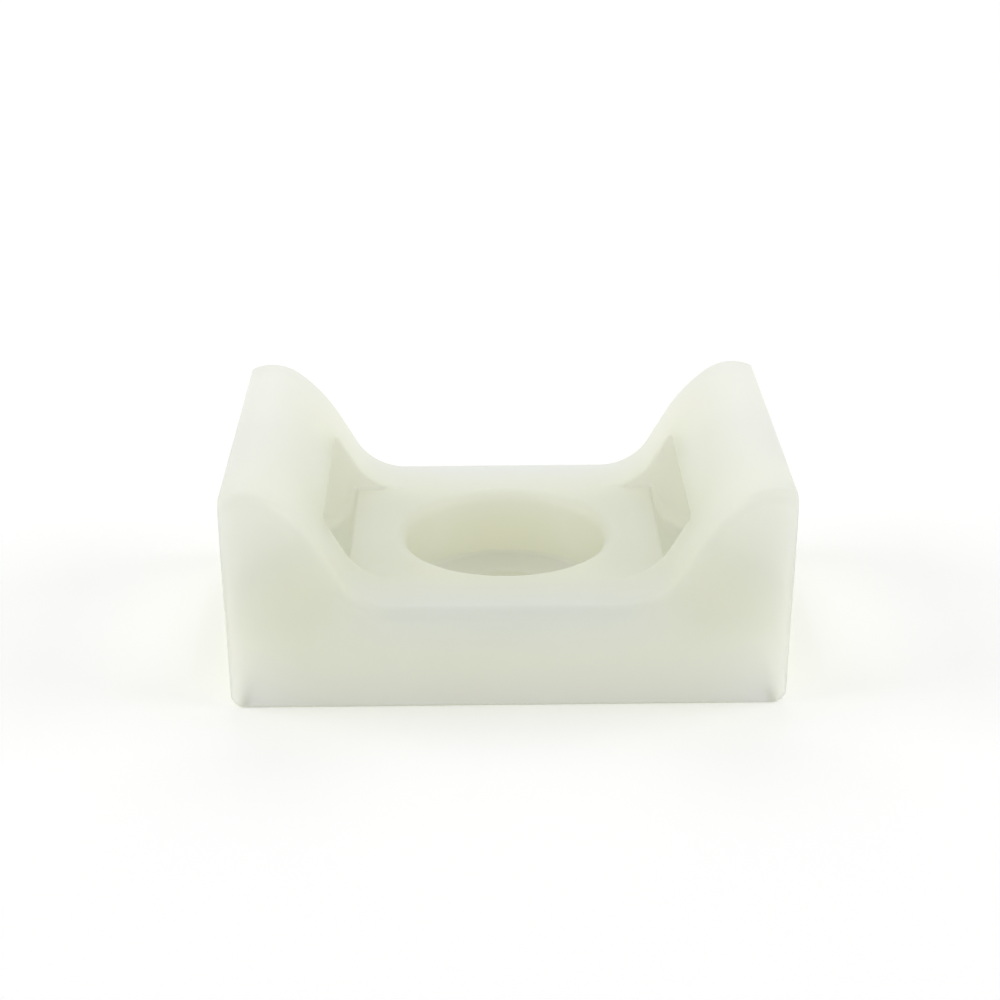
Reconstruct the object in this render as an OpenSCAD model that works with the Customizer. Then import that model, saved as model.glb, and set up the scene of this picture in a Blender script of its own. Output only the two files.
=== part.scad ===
// Saddle-shaped cable tie mount, moulded in one piece and held down by one screw.
// X runs from horn to horn, Y from front to back, Z up from the mounting face.

/* [Body] */
// overall length over the horns
body_l = 22.2; // [21:0.1:32]
// depth from front face to back face
body_w = 15.7; // [13.5:0.1:26]
// how far each end face leans in on its way down to the foot
end_lean = 0.14; // [0:0.01:0.3]
// rounding between each end face and the mounting face
foot_r = 0.55; // [0.2:0.05:0.9]

/* [Cradle] */
// height of the flat cradle floor above the mounting face
floor_z = 4.15; // [3.8:0.05:5.2]
// height of the horn crests above the mounting face
crest_z = 9.05; // [8.6:0.05:13]
// distance from each end face in to its crest line
crest_in = 0.9; // [0.7:0.05:1.2]
// radius over each crest
crest_r = 2; // [1.8:0.1:2.4]
// how far the crest arc turns inward before the shoulder takes over, in degrees
crest_turn = 37; // [32:1:42]
// radius of the shoulder between each crest and the inner horn face
shoulder_r = 6.6; // [5:0.1:8]
// steepness of the inner horn faces, in degrees
horn_slope = 60; // [54:1:66]
// radius between the cradle floor and each horn
cradle_r = 2.5; // [2.2:0.1:2.8]
// rounding along the front and back edges of the cradle and horns
edge_r = 0.55; // [0.3:0.05:0.8]

/* [Screw hole] */
// clearance hole for the screw shank
screw_d = 4.5; // [4.2:0.1:5.6]
// counterbore that takes the screw head
head_d = 8.3; // [7.2:0.1:8.6]
// height of the seat under the screw head
seat_z = 1.3; // [1.1:0.1:2.4]
// rounding where the counterbore breaks into the cradle floor
rim_r = 0.6; // [0.2:0.05:0.7]

/* [Strap passages] */
// width of the passages, room for the strap
strap_w = 9.4; // [5:0.1:9.8]
// how far the floor runs on level past the foot of each bend, to the sill of the slot
sill_run = 2.14; // [1.6:0.02:2.4]
// height of the slot mouth, from the sill up to the lip
mouth_h = 2.5; // [2.3:0.05:2.9]
// height of the passage floor above the mounting face
window_z = 2; // [1.6:0.1:2.4]
// height of the window in each end face
window_h = 2.2; // [1.6:0.1:2.6]

/* [Hidden] */
nylon = [0.91, 0.91, 0.84];
// cutters run this far past the faces they break through
over = 1;
// an edge rounding stops this far short of tangent, which leaves a fine line along it
edge_line = 0.004;
// neighbouring edge cutters run this far into each other, and every second one stops
// at the shallower line, so that no two of them share a surface
lap = 0.02;
shallow_line = 0.006;
$fn = 96;

half_l = body_l / 2;
half_w = body_w / 2;

// the leaning end face and the rounding at its foot
foot_half = half_l - end_lean;
lean_a = atan(end_lean / crest_z);
foot_x = foot_half - foot_r * (1 - sin(lean_a)) / cos(lean_a);

// centre of the crest arc and the point where it runs into the shoulder
crest_x = half_l - crest_in;
crest_c = crest_z - crest_r;
turn_x = crest_x - crest_r * sin(crest_turn);
turn_z = crest_c + crest_r * cos(crest_turn);

// centre of the shoulder arc and the point where it runs into the inner face
shoulder_x = turn_x + shoulder_r * sin(crest_turn);
shoulder_c = turn_z - shoulder_r * cos(crest_turn);
brow_x = shoulder_x - shoulder_r * sin(horn_slope);
brow_z = shoulder_c + shoulder_r * cos(horn_slope);

// the bend at the foot of the inner face, and where the flat floor ends
bend_z = floor_z + cradle_r * (1 - cos(horn_slope));
bend_x = brow_x - (brow_z - bend_z) / tan(horn_slope);
bend_c = floor_z + cradle_r;
flat_x = bend_x - cradle_r * sin(horn_slope);
face_len = (brow_z - bend_z) / sin(horn_slope);

// mouth of the strap slot; the level run to its sill lies a hair above the cradle floor,
// where it crosses the bend cleanly
sill_x = flat_x + sill_run;
sill_z = floor_z + lap;
lip_z = floor_z + mouth_h;
lip_x = bend_x + (lip_z - bend_z) / tan(horn_slope);

// the roof of a passage falls from the lip to the window in the end face
window_top = window_z + window_h;
roof_fall = (lip_z - window_top) / (half_l - lip_x);
ramp_r = sill_z - window_z;

module both_ends() {
    children();
    mirror([1, 0, 0])
        children();
}

module both_faces() {
    children();
    mirror([0, 1, 0])
        children();
}

// stands an end view drawn in X and Z up in Y
module upright(depth) {
    rotate([90, 0, 0])
        linear_extrude(height = depth, center = true)
            children();
}

// the shoulder's share of the end view, from its arc down to its centre
module shoulder_view() {
    reach = shoulder_r + over;
    intersection() {
        translate([shoulder_x, shoulder_c])
            circle(r = shoulder_r);
        polygon([
            [shoulder_x, shoulder_c],
            [shoulder_x - reach * sin(crest_turn), shoulder_c + reach * cos(crest_turn)],
            [shoulder_x - reach * sin(horn_slope), shoulder_c + reach * cos(horn_slope)]
        ]);
    }
}

// one half of the end view, before the ends are trimmed
module horn_view() {
    polygon([
        [0, 0],
        [half_l + over, 0],
        [half_l + over, crest_c],
        [crest_x, crest_c],
        [turn_x, turn_z],
        [brow_x, brow_z],
        [bend_x, bend_z],
        [flat_x, floor_z],
        [0, floor_z]
    ]);
    shoulder_view();
    translate([crest_x, crest_c])
        circle(r = crest_r);
}

// what lies inside the leaning end face
module end_limit() {
    top_z = crest_z + over;
    polygon([
        [0, 0],
        [foot_x, 0],
        [foot_x + foot_r * cos(lean_a), foot_r * (1 - sin(lean_a))],
        [foot_half + top_z * tan(lean_a), top_z],
        [0, top_z]
    ]);
    translate([foot_x, foot_r])
        circle(r = foot_r);
}

module half_view() {
    difference() {
        intersection() {
            horn_view();
            end_limit();
        }
        translate([flat_x, bend_c])
            circle(r = cradle_r);
    }
}

// what a straight edge loses to its rounding, in depth and height at the front face
module edge_waste() {
    inset = edge_r - edge_line;
    difference() {
        translate([-half_w - over, -edge_r])
            square([edge_r + over, edge_r + over]);
        translate([inset - half_w, -inset])
            circle(r = edge_r);
    }
}

module edge_run(length) {
    translate([-lap, 0, 0])
        rotate([90, 0, 90])
            linear_extrude(height = length + 2 * lap)
                edge_waste();
}

// the same waste carried round an arc; the body lies outside a bend and inside a crest
module edge_bend(arc_r, outside, line, start, sweep) {
    side = outside ? 1 : -1;
    inset = edge_r - line;
    lap_a = lap / arc_r * 180 / PI;
    rotate([90, 0, 0])
        rotate([0, 0, start - lap_a])
            rotate_extrude(angle = sweep + 2 * lap_a)
                difference() {
                    translate([arc_r + min(side * edge_r, -side * over), half_w - edge_r])
                        square([edge_r + over, edge_r + over]);
                    translate([arc_r + side * inset, half_w - inset])
                        circle(r = edge_r);
                }
}

module front_rounding() {
    crest_start = 45;
    translate([-flat_x, 0, floor_z])
        edge_run(2 * flat_x);
    both_ends() {
        translate([flat_x, 0, bend_c])
            edge_bend(cradle_r, true, shallow_line, -90, horn_slope);
        translate([bend_x, 0, bend_z])
            rotate([0, -horn_slope, 0])
                edge_run(face_len);
        translate([shoulder_x, 0, shoulder_c])
            edge_bend(shoulder_r, false, shallow_line, 90 + crest_turn, horn_slope - crest_turn);
        translate([crest_x, 0, crest_c])
            edge_bend(crest_r, false, edge_line, crest_start, 90 + crest_turn - crest_start);
    }
}

module screw_way() {
    translate([0, 0, -over])
        cylinder(h = seat_z + 2 * over, d = screw_d);
    translate([0, 0, seat_z])
        cylinder(h = crest_z, d = head_d);
    rotate_extrude()
        difference() {
            translate([head_d / 2 - over, floor_z - rim_r])
                square([rim_r + over, rim_r + over]);
            translate([head_d / 2 + rim_r, floor_z - rim_r])
                circle(r = rim_r);
        }
}

// end view of a passage: level run, sill, ramp down to the window and falling roof
module passage_view() {
    translate([flat_x, sill_z])
        square([sill_run + lap, cradle_r]);
    difference() {
        polygon([
            [sill_x, window_z],
            [half_l + over, window_z],
            [half_l + over, window_top - roof_fall * over],
            [sill_x, lip_z + roof_fall * (lip_x - sill_x)]
        ]);
        difference() {
            translate([sill_x - over, window_z - over])
                square([ramp_r + over, ramp_r + over]);
            translate([sill_x + ramp_r, sill_z])
                circle(r = ramp_r);
        }
    }
}

module tie_mount() {
    color(nylon)
        difference() {
            upright(body_w)
                both_ends()
                    half_view();
            both_faces()
                front_rounding();
            screw_way();
            upright(strap_w)
                both_ends()
                    passage_view();
        }
}

tie_mount();
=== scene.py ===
"""The looks of a cable tie mount: one moulding of milky nylon on a pale floor."""

import math

import bpy
import numpy as np
from mathutils import Matrix, Vector


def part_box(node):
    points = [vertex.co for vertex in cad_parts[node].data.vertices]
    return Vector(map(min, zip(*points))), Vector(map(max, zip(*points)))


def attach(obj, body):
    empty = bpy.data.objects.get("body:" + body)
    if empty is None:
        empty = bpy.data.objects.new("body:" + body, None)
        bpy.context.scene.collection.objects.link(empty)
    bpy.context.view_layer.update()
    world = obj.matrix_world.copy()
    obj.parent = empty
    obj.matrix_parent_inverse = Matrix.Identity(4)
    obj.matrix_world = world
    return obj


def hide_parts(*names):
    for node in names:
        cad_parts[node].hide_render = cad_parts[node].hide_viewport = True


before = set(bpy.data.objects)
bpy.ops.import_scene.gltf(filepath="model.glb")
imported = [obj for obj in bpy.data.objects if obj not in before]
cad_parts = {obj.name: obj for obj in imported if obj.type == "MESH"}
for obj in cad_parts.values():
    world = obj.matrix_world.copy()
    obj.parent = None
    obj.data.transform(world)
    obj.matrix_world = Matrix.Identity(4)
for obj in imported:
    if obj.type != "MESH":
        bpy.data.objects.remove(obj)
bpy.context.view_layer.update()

NODE = "tie_mount"
MM = 0.001
LOW, HIGH = (np.array(corner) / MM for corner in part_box(NODE))

# The moulding's own sizes in millimetres, the same as in the part's source.
HALF_L, HALF_W, CREST_Z = HIGH[0], HIGH[1], HIGH[2]
END_LEAN = 0.14
FOOT_R = 0.55
FLOOR_Z = 4.15
CREST_IN = 0.9
CREST_R = 2.0
CREST_TURN = math.radians(37)
SHOULDER_R = 6.6
HORN_SLOPE = math.radians(60)
CRADLE_R = 2.5
EDGE_R = 0.55
SCREW_R = 2.25
HEAD_R = 4.15
SEAT_Z = 1.3
RIM_R = 0.6
STRAP_W = 9.4
SILL_RUN = 2.14
MOUTH_H = 2.5
WINDOW_Z = 2.0
WINDOW_H = 2.2

# What the solid model leaves sharp, in millimetres: worn edges, the fillets of inner corners near the
# openings, and those of the passages from DEEP below the cradle floor on.
SOFT_R = 0.12
INNER_R = 0.2
DEEP_R = 0.6
DEEP = 1.0

# The surface's points, in millimetres: spacing of the grid they are taken from, and the distance to each
# side at which a slope is measured.
GRID = 0.15
SLOPE_REACH = 0.002

# The smallest slopes that anything is divided by, in finding normals and in moving points.
TINY_SLOPE = 1e-6
LEAST_SLOPE = 0.3

# How much of a cloud's tint shows in its middle.
CLOUD_STRENGTH = 0.9

# Brightness of the studio all round, as light falls from it and as gloss mirrors it.
SKY = 0.59
CARDS = 0.88

# Camera: solved from the moulding's corners and outline.
CAMERA_AT = Vector((-1.32, -84.94, 40.79)) * MM
CAMERA_PITCH = math.radians(22.54)
CAMERA_YAW = math.radians(-0.74)
CAMERA_ROLL = math.radians(-0.24)
CAMERA_FOCUS = 2.2


def across(slope):
    """Unit vector out of a face that climbs outward at that slope, as (x, z)."""
    return np.array([-math.sin(slope), math.cos(slope)])


def outline_points():
    """Centres and ends of the stretches of the cradle and horn line, as (x, z)."""
    crest = np.array([HALF_L - CREST_IN, CREST_Z - CREST_R])
    turn = crest + CREST_R * across(CREST_TURN)
    shoulder = turn - SHOULDER_R * across(CREST_TURN)
    brow = shoulder + SHOULDER_R * across(HORN_SLOPE)
    bend_z = FLOOR_Z + CRADLE_R * (1 - math.cos(HORN_SLOPE))
    bend_x = brow[0] - (brow[1] - bend_z) / math.tan(HORN_SLOPE)
    bend = np.array([bend_x, bend_z])
    cradle = bend + CRADLE_R * across(HORN_SLOPE)
    return {
        "crest": crest,
        "turn": turn,
        "shoulder": shoulder,
        "brow": brow,
        "bend": bend,
        "cradle": cradle,
    }


LINE = outline_points()
SILL_X = LINE["cradle"][0] + SILL_RUN
LIP_Z = FLOOR_Z + MOUTH_H
LIP_X = LINE["bend"][0] + (LIP_Z - LINE["bend"][1]) / math.tan(HORN_SLOPE)
SLOT_MIDDLE_X = (SILL_X + LIP_X) / 2
RAMP_R = FLOOR_Z - WINDOW_Z


def both(a, b, radius):
    """Inside a and inside b, as distances, with the edge between them rounded."""
    flat = np.minimum(np.maximum(a, b), -radius)
    return flat + np.hypot(np.maximum(a + radius, 0), np.maximum(b + radius, 0))


def past(point, slope, x, z):
    """True beyond the line across the outline at that point."""
    return (x - point[0]) * math.cos(slope) + (z - point[1]) * math.sin(slope) > 0


def above_saddle(x, z):
    """Distance above the line of the cradle floor, bend, horn face, shoulder and crest."""
    bend = CRADLE_R - np.hypot(x - LINE["cradle"][0], z - LINE["cradle"][1])
    face = (x - LINE["bend"][0]) * across(HORN_SLOPE)[0] + (z - LINE["bend"][1]) * across(HORN_SLOPE)[1]
    shoulder = np.hypot(x - LINE["shoulder"][0], z - LINE["shoulder"][1]) - SHOULDER_R
    crest = np.hypot(x - LINE["crest"][0], z - LINE["crest"][1]) - CREST_R
    stretches = [
        (past(LINE["turn"], CREST_TURN, x, z), crest),
        (past(LINE["brow"], HORN_SLOPE, x, z), shoulder),
        (past(LINE["bend"], HORN_SLOPE, x, z), face),
        (x > LINE["cradle"][0], bend),
    ]
    return np.select([where for where, _ in stretches], [value for _, value in stretches], z - FLOOR_Z)


def outside_block(x, y, z):
    """Distance outside the moulding before its holes are made."""
    lean = math.atan(END_LEAN / CREST_Z)
    end = (x - HALF_L + (CREST_Z - z) * math.tan(lean)) * math.cos(lean)
    top = both(above_saddle(x, z), np.abs(y) - HALF_W, EDGE_R)
    return both(top, both(end, -z, FOOT_R), SOFT_R)


def outside_ramp(x, z):
    """Distance below the ramp and the passage floor and inward of the sill, negative above them."""
    return both(SILL_X - x, WINDOW_Z - z, RAMP_R)


def inside_passage(x, y, z):
    """Distance outside a strap passage, so negative within it."""
    fall = math.atan((LIP_Z - WINDOW_Z - WINDOW_H) / (HALF_L - LIP_X))
    roof = (z - LIP_Z) * math.cos(fall) + (x - LIP_X) * math.sin(fall)
    section = both(outside_ramp(x, z), roof, INNER_R)
    corner_r = INNER_R + np.clip((FLOOR_Z - z) / DEEP, 0, 1) * (DEEP_R - INNER_R)
    return both(section, np.abs(y) - STRAP_W / 2, corner_r)


def above_run(x, z, passage):
    """Distance above the cradle floor's level run and worn sill, as far as the slot's middle."""
    return np.minimum(both(z - FLOOR_Z, -passage, SOFT_R), SLOT_MIDDLE_X - x)


def outside_mount(points):
    """Signed distance from the moulding's surface at an array of points, in millimetres."""
    x, y, z = np.abs(points[..., 0]), points[..., 1], points[..., 2]
    block = outside_block(x, y, z)
    lands = both(block, STRAP_W / 2 - np.abs(y), SOFT_R)
    passage = inside_passage(x, y, z)
    between = np.maximum(both(block, -passage, SOFT_R), above_run(x, z, passage))
    reach = np.hypot(x, y)
    head_recess = both(reach - HEAD_R, SEAT_Z - z, INNER_R)
    body = both(np.minimum(between, lands), -head_recess, RIM_R)
    return both(body, SCREW_R - reach, SOFT_R)


def slope_of(field, points):
    """Unit normals of a field, with the length of its slope."""
    shifts = np.eye(3) * SLOPE_REACH
    slopes = np.stack([field(points + s) - field(points - s) for s in shifts], -1) / (2 * SLOPE_REACH)
    length = np.linalg.norm(slopes, axis=-1, keepdims=True)
    return slopes / np.maximum(length, TINY_SLOPE), length


def settle(field, points, rounds=6):
    """Moves points along the slope until they lie on the surface."""
    for _ in range(rounds):
        normal, length = slope_of(field, points)
        move = field(points)[:, None] / np.maximum(length, LEAST_SLOPE)
        points = points - normal * np.clip(move, -GRID, GRID)
    return points


def grid_axis(start, end, step):
    """Grid places that cover a stretch, half a step off zero so that none lies on the mounting face."""
    return np.arange(math.floor(start / step) - 1.5, math.ceil(end / step) + 2) * step


def crossed_edges(values, axis):
    """Crossings of zero on the grid's edges along an axis, the four cells round each, and which fall."""
    near = np.take(values, range(values.shape[axis] - 1), axis)
    far = np.take(values, range(1, values.shape[axis]), axis)
    edges = np.argwhere((near < 0) != (far < 0))
    start, end = near[tuple(edges.T)], far[tuple(edges.T)]
    crossing = edges.astype(float)
    crossing[:, axis] += start / (start - end)
    ring = []
    for left, down in ((0, 0), (1, 0), (1, 1), (0, 1)):
        cell = edges.copy()
        cell[:, (axis + 1) % 3] -= left
        cell[:, (axis + 2) % 3] -= down
        ring.append(cell)
    return crossing, np.stack(ring, 1), start > 0


def surface_net(field, low, high, step):
    """Points and four-sided faces of the surface where the field is zero, one point to a cell."""
    axes = [grid_axis(start, end, step) for start, end in zip(low, high)]
    values = field(np.stack(np.meshgrid(*axes, indexing="ij"), -1))
    sides = [crossed_edges(values, axis) for axis in range(3)]
    cells = -np.ones(np.array(values.shape) - 1, int)
    for _, ring, _ in sides:
        cells[tuple(ring.reshape(-1, 3).T)] = 0
    used = np.argwhere(cells == 0)
    cells[tuple(used.T)] = np.arange(len(used))
    total, hits = np.zeros((len(used), 3)), np.zeros(len(used))
    faces = []
    for crossing, ring, backward in sides:
        corner = cells[tuple(ring.reshape(-1, 3).T)].reshape(-1, 4)
        for k in range(4):
            np.add.at(total, corner[:, k], crossing)
            np.add.at(hits, corner[:, k], 1)
        faces.append(np.where(backward[:, None], corner[:, ::-1], corner))
    origin = np.array([a[0] for a in axes])
    return origin + total / hits[:, None] * step, np.concatenate(faces)


def build_moulding():
    """The moulding as one closed mesh, in metres."""
    points, faces = surface_net(outside_mount, LOW, HIGH, GRID)
    points = settle(outside_mount, points)
    normals, _ = slope_of(outside_mount, points)
    mesh = bpy.data.meshes.new("moulding")
    mesh.from_pydata((points * MM).tolist(), [], faces.tolist())
    mesh.shade_smooth()
    mesh.normals_split_custom_set_from_vertices(normals.tolist())
    mesh.validate(clean_customdata=False)
    piece = bpy.data.objects.new("moulding", mesh)
    bpy.context.scene.collection.objects.link(piece)
    return piece


class Nodes:
    """Short calls for laying out a material's nodes, where a socket is linked and a value is set."""

    def __init__(self, name):
        self.material = bpy.data.materials.new(name)
        self.material.use_nodes = True
        self.tree = self.material.node_tree
        self.shader = self.tree.nodes["Principled BSDF"]

    def add(self, kind, inputs=None, **settings):
        node = self.tree.nodes.new(kind)
        for key, value in settings.items():
            setattr(node, key, value)
        for key, value in (inputs or {}).items():
            if isinstance(value, bpy.types.NodeSocket):
                self.tree.links.new(value, node.inputs[key])
            else:
                node.inputs[key].default_value = value
        return node

    def shade(self, inputs):
        for key, value in inputs.items():
            if isinstance(value, bpy.types.NodeSocket):
                self.tree.links.new(value, self.shader.inputs[key])
            else:
                self.shader.inputs[key].default_value = value


def noise(nodes, place, size_mm, detail=3.0, rough=0.5):
    """A noise texture whose blotches are about that size."""
    inputs = {"Vector": place, "Scale": 1 / (size_mm * MM), "Detail": detail, "Roughness": rough}
    return nodes.add("ShaderNodeTexNoise", inputs).outputs["Fac"]


def tints_and_painted_light():
    """Clouds of tint, most of them painted light and painted shade: centre and reach in millimetres, and
    the tint.
    """
    return {
        # Painted light: paler and whiter along the crests of the horns.
        "crest": ((HALF_L - CREST_IN, 0, CREST_Z), (4, 12, 4), (0.80, 0.825, 0.72)),
        # Painted shade: darker and cooler along the cradle floor's front and back edges.
        "strip": ((0, HALF_W, FLOOR_Z), (11, 4, 2.4), (0.66, 0.715, 0.63)),
        # Yellower and a little darker on the end of the front and back faces under each horn: partly the
        # nylon's deeper tone where it is thick, partly painted shade.
        "root": ((HALF_L - 2.8, HALF_W, FLOOR_Z + 1), (4.5, 2, 3.5), (0.76, 0.785, 0.555)),
        # Painted shade: darker at the upper corners of the horns.
        "brow": ((HALF_L, HALF_W, CREST_Z - 2), (4, 3, 3.5), (0.68, 0.71, 0.57)),
        # Painted light: paler at the bottom corners.
        "foot": ((HALF_L, HALF_W, 0), (4, 3, 3.5), (0.87, 0.89, 0.75)),
        # Painted shade: darker and yellower on the walls of the screw head recess.
        "recess": ((0, HEAD_R, SEAT_Z + 1), (5.5, 1.6, 2.2), (0.75, 0.77, 0.50)),
        # Painted shade: darker and yellower on the seat at the bottom of the recess.
        "seat": ((0, 2.5, SEAT_Z), (5, 4, 1.2), (0.76, 0.77, 0.50)),
        # Painted light: paler on the cradle floor next to each slot's sill.
        "sill": ((SILL_X - 0.8, 0, FLOOR_Z), (2.5, 5, 0.8), (0.85, 0.88, 0.69)),
        # Painted light: paler on the horn face just above each slot's lip.
        "lip": ((LIP_X + 0.5, 0, LIP_Z + 0.7), (1.3, 5, 1.3), (0.86, 0.88, 0.72)),
    }


def reckon(nodes, operation, *terms, result="Vector"):
    """The result of one operation on vectors."""
    return nodes.add("ShaderNodeVectorMath", dict(enumerate(terms)), operation=operation).outputs[result]


def clouded(nodes, colour, place, centre, reach, tint):
    """The colour with a soft cloud of a tint in it, the same in all four quarters of the mount."""
    quarter = reckon(nodes, "ABSOLUTE", place)
    offset = reckon(nodes, "SUBTRACT", quarter, [size * MM for size in centre])
    share = reckon(nodes, "DIVIDE", offset, [size * MM for size in reach])
    away = reckon(nodes, "LENGTH", share, result="Value")
    falling = {"Value": away, "To Min": CLOUD_STRENGTH, "To Max": 0.0}
    amount = nodes.add("ShaderNodeMapRange", falling, interpolation_type="SMOOTHSTEP").outputs["Result"]
    mixed = {"Fac": amount, "Color1": colour, "Color2": (*tint, 1)}
    return nodes.add("ShaderNodeMixRGB", mixed).outputs["Color"]


def nylon():
    """Natural nylon: milky and cloudy, yellower in the thick places, with a fine satin grain, and with
    clouds of painted light and painted shade in its colour.
    """
    nodes = Nodes("nylon")
    place = nodes.add("ShaderNodeNewGeometry").outputs["Position"]
    clouds = nodes.add("ShaderNodeValToRGB", {"Fac": noise(nodes, place, 7, detail=2)})
    deep, pale = clouds.color_ramp.elements
    deep.position, deep.color = 0.3, (0.785, 0.81, 0.60, 1)
    pale.position, pale.color = 0.7, (0.815, 0.845, 0.64, 1)
    colour = clouds.outputs["Color"]
    # Most of these clouds are painted light and painted shade, laid into the colour.
    for centre, reach, tint in tints_and_painted_light().values():
        colour = clouded(nodes, colour, place, centre, reach, tint)
    grain = noise(nodes, place, 0.12, detail=4, rough=0.6)
    ripple = noise(nodes, place, 2.5, detail=2)
    fine = nodes.add("ShaderNodeBump", {"Height": grain, "Strength": 0.08, "Distance": 0.03 * MM})
    uneven = nodes.add("ShaderNodeBump", {
        "Height": ripple,
        "Strength": 0.25,
        "Distance": 0.1 * MM,
        "Normal": fine.outputs["Normal"],
    })
    nodes.shade({
        "Base Color": colour,
        "Subsurface Weight": 0.62,
        "Subsurface Radius": (1.0, 0.95, 0.75),
        "Subsurface Scale": 40 * MM,
        "Roughness": 0.48,
        "Specular IOR Level": 0.45,
        "Normal": uneven.outputs["Normal"],
    })
    return nodes.material


def paper():
    """Matt white studio paper with a trace of tooth, lit softly from below."""
    nodes = Nodes("paper")
    place = nodes.add("ShaderNodeNewGeometry").outputs["Position"]
    fibres = noise(nodes, place, 0.4)
    tooth = nodes.add("ShaderNodeBump", {"Height": fibres, "Strength": 0.1, "Distance": 0.02 * MM})
    nodes.shade({
        "Base Color": (0.92, 0.92, 0.92, 1),
        "Roughness": 0.9,
        "Emission Color": (1, 1, 1, 1),
        "Emission Strength": 0.16,
        "Normal": tooth.outputs["Normal"],
    })
    return nodes.material


def build_floor():
    """A wide pale floor that carries the mounting face."""
    reach = 4.0
    mesh = bpy.data.meshes.new("floor")
    corners = [(-reach, -reach, 0), (reach, -reach, 0), (reach, reach, 0), (-reach, reach, 0)]
    mesh.from_pydata(corners, [], [(0, 1, 2, 3)])
    floor = bpy.data.objects.new("floor", mesh)
    bpy.context.scene.collection.objects.link(floor)
    floor.data.materials.append(paper())


def add_lamp(name, place, size, power):
    """A white square soft box that faces the moulding, in metres and watts."""
    lamp = bpy.data.lights.new(name, "AREA")
    lamp.size = size
    lamp.energy = power
    holder = bpy.data.objects.new(name, lamp)
    holder.location = place
    holder.rotation_euler = (-Vector(place)).to_track_quat("-Z", "Y").to_euler()
    bpy.context.scene.collection.objects.link(holder)


def light_studio():
    """Even soft light, white cards in the gloss, and a soft box at each end and behind."""
    world = bpy.data.worlds.new("studio")
    bpy.context.scene.world = world
    world.use_nodes = True
    tree = world.node_tree
    background = tree.nodes["Background"]
    background.inputs["Color"].default_value = (1, 1, 1, 1)
    ray = tree.nodes.new("ShaderNodeLightPath")
    cards = tree.nodes.new("ShaderNodeMapRange")
    cards.inputs["To Min"].default_value = SKY
    cards.inputs["To Max"].default_value = CARDS
    tree.links.new(ray.outputs["Is Glossy Ray"], cards.inputs["Value"])
    tree.links.new(cards.outputs["Result"], background.inputs["Strength"])
    add_lamp("left", place=(-0.35, 0, 0.2), size=0.3, power=0.48)
    add_lamp("right", place=(0.35, 0, 0.2), size=0.3, power=0.46)
    add_lamp("back", place=(0, 0.3, 0.3), size=0.3, power=0.22)


def add_camera():
    """The camera at the photograph's viewing angle."""
    lens = bpy.data.cameras.new("camera")
    lens.sensor_width = 36
    lens.lens = lens.sensor_width * CAMERA_FOCUS
    lens.clip_start = 0.005
    turn = Matrix.Rotation(CAMERA_YAW, 4, "Z") @ Matrix.Rotation(math.pi / 2 - CAMERA_PITCH, 4, "X")
    holder = bpy.data.objects.new("camera", lens)
    holder.matrix_world = Matrix.Translation(CAMERA_AT) @ turn @ Matrix.Rotation(CAMERA_ROLL, 4, "Z")
    bpy.context.scene.collection.objects.link(holder)
    bpy.context.scene.camera = holder


def dress_mount():
    """The finished moulding in place of the plain solid."""
    moulding = build_moulding()
    moulding.data.materials.append(nylon())
    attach(moulding, "root")
    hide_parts(NODE)


dress_mount()
build_floor()
light_studio()
add_camera()
bpy.context.scene.view_settings.view_transform = "Standard"
